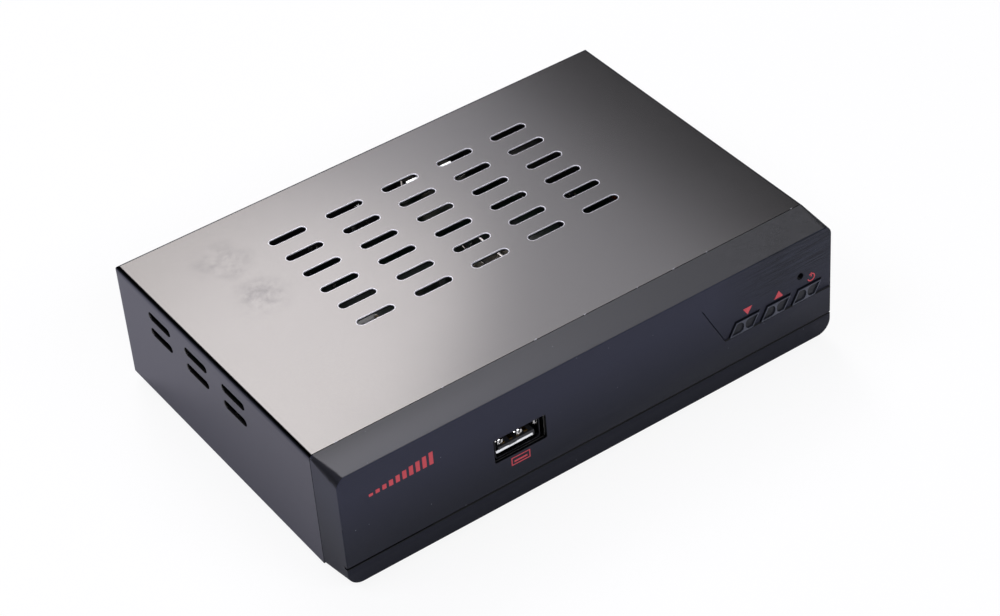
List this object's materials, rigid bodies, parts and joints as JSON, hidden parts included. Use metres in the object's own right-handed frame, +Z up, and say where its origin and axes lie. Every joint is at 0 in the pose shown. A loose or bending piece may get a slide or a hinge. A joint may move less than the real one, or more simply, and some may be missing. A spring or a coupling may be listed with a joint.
{
  "type": "satellite tv receiver",
  "caption": "Small satellite television receiver: vented steel case, moulded front with slanted push keys and a data socket, and aerial, video and audio sockets at the back.",
  "frame": {"origin": "centre of the footprint, rear sockets and keys included, on the plane that the feet stand on", "axes": "+Z up, the front with the keys faces -Y, +X to the right seen from the front"},
  "size_m": [0.155, 0.118, 0.0384],
  "materials": {
    "painted_steel": "satin dark grey paint on folded steel",
    "bezel_plastic": "moulded, satin with a fine brushed texture",
    "key_plastic": "moulded, satin",
    "foot_rubber": "moulded, matte",
    "black_zinc": "black zinc on steel",
    "bright_zinc": "bright zinc on steel",
    "board_laminate": "green solder mask on glass laminate",
    "tinned_steel": "tinned, drawn",
    "nickel_plate": "nickel plated, turned",
    "contact_gold": "gold flashed",
    "white_insulator": "moulded",
    "black_insulator": "moulded",
    "plunger_plastic": "moulded",
    "yellow_insulator": "moulded",
    "ivory_insulator": "moulded",
    "red_insulator": "moulded",
    "lamp_resin": "clear tinted resin",
    "receiver_resin": "dark resin that passes infrared",
    "chip_resin": "moulded, matte",
    "sink_aluminium": "extruded, lightly etched",
    "capacitor_sleeve": "shrunk sleeve over an aluminium can",
    "ferrite": "sintered, matte"
  },
  "bodies": {
    "case": {"top_cover": "painted_steel", "bottom_chassis": "painted_steel", "front_bezel": "bezel_plastic", "rubber_feet": "foot_rubber", "cover_screws": "black_zinc", "bezel_screws": "black_zinc", "front_board": "board_laminate", "front_board_screws": "bright_zinc", "switch_bodies": "black_insulator", "switch_plates": "tinned_steel", "infrared_receiver": "receiver_resin", "standby_lamp": "lamp_resin", "link_header": "black_insulator", "link_pins": "contact_gold", "data_socket_shell": "tinned_steel", "data_socket_tongue": "black_insulator", "data_socket_contacts": "contact_gold", "main_board": "board_laminate", "board_standoffs": "bright_zinc", "board_screws": "bright_zinc", "tuner_can": "tinned_steel", "tuner_lid": "tinned_steel", "aerial_socket_loop": "nickel_plate", "aerial_socket_in": "nickel_plate", "aerial_insulators": "white_insulator", "aerial_contacts": "contact_gold", "video_socket_shell": "nickel_plate", "video_socket_tongue": "black_insulator", "jack_block": "black_insulator", "jack_barrels": "nickel_plate", "power_jack_body": "black_insulator", "power_jack_pin": "nickel_plate", "processor": "chip_resin", "heat_sink": "sink_aluminium", "memory_chip": "chip_resin", "program_store": "chip_resin", "crystal": "tinned_steel", "capacitor_cans": "capacitor_sleeve", "power_chokes": "ferrite", "voltage_regulators": "chip_resin", "jack_insert_yellow": "yellow_insulator", "jack_insert_white": "ivory_insulator", "jack_insert_red": "red_insulator"},
    "key_channel_down": {"key_channel_down": "key_plastic", "switch_plunger_channel_down": "plunger_plastic"},
    "key_channel_up": {"key_channel_up": "key_plastic", "switch_plunger_channel_up": "plunger_plastic"},
    "key_power": {"key_power": "key_plastic", "switch_plunger_power": "plunger_plastic"}
  },
  "joints": [
    {"name": "key_channel_down_press", "type": "slide", "parent": "case", "child": "key_channel_down", "axis": [0, 1, 0], "range_m": [0, 0.0004], "stiffness_N_per_m": 400, "springref_m": -0.0015},
    {"name": "key_channel_up_press", "type": "slide", "parent": "case", "child": "key_channel_up", "axis": [0, 1, 0], "range_m": [0, 0.0004], "stiffness_N_per_m": 400, "springref_m": -0.0015},
    {"name": "key_power_press", "type": "slide", "parent": "case", "child": "key_power", "axis": [0, 1, 0], "range_m": [0, 0.0004], "stiffness_N_per_m": 400, "springref_m": -0.0015}
  ]
}
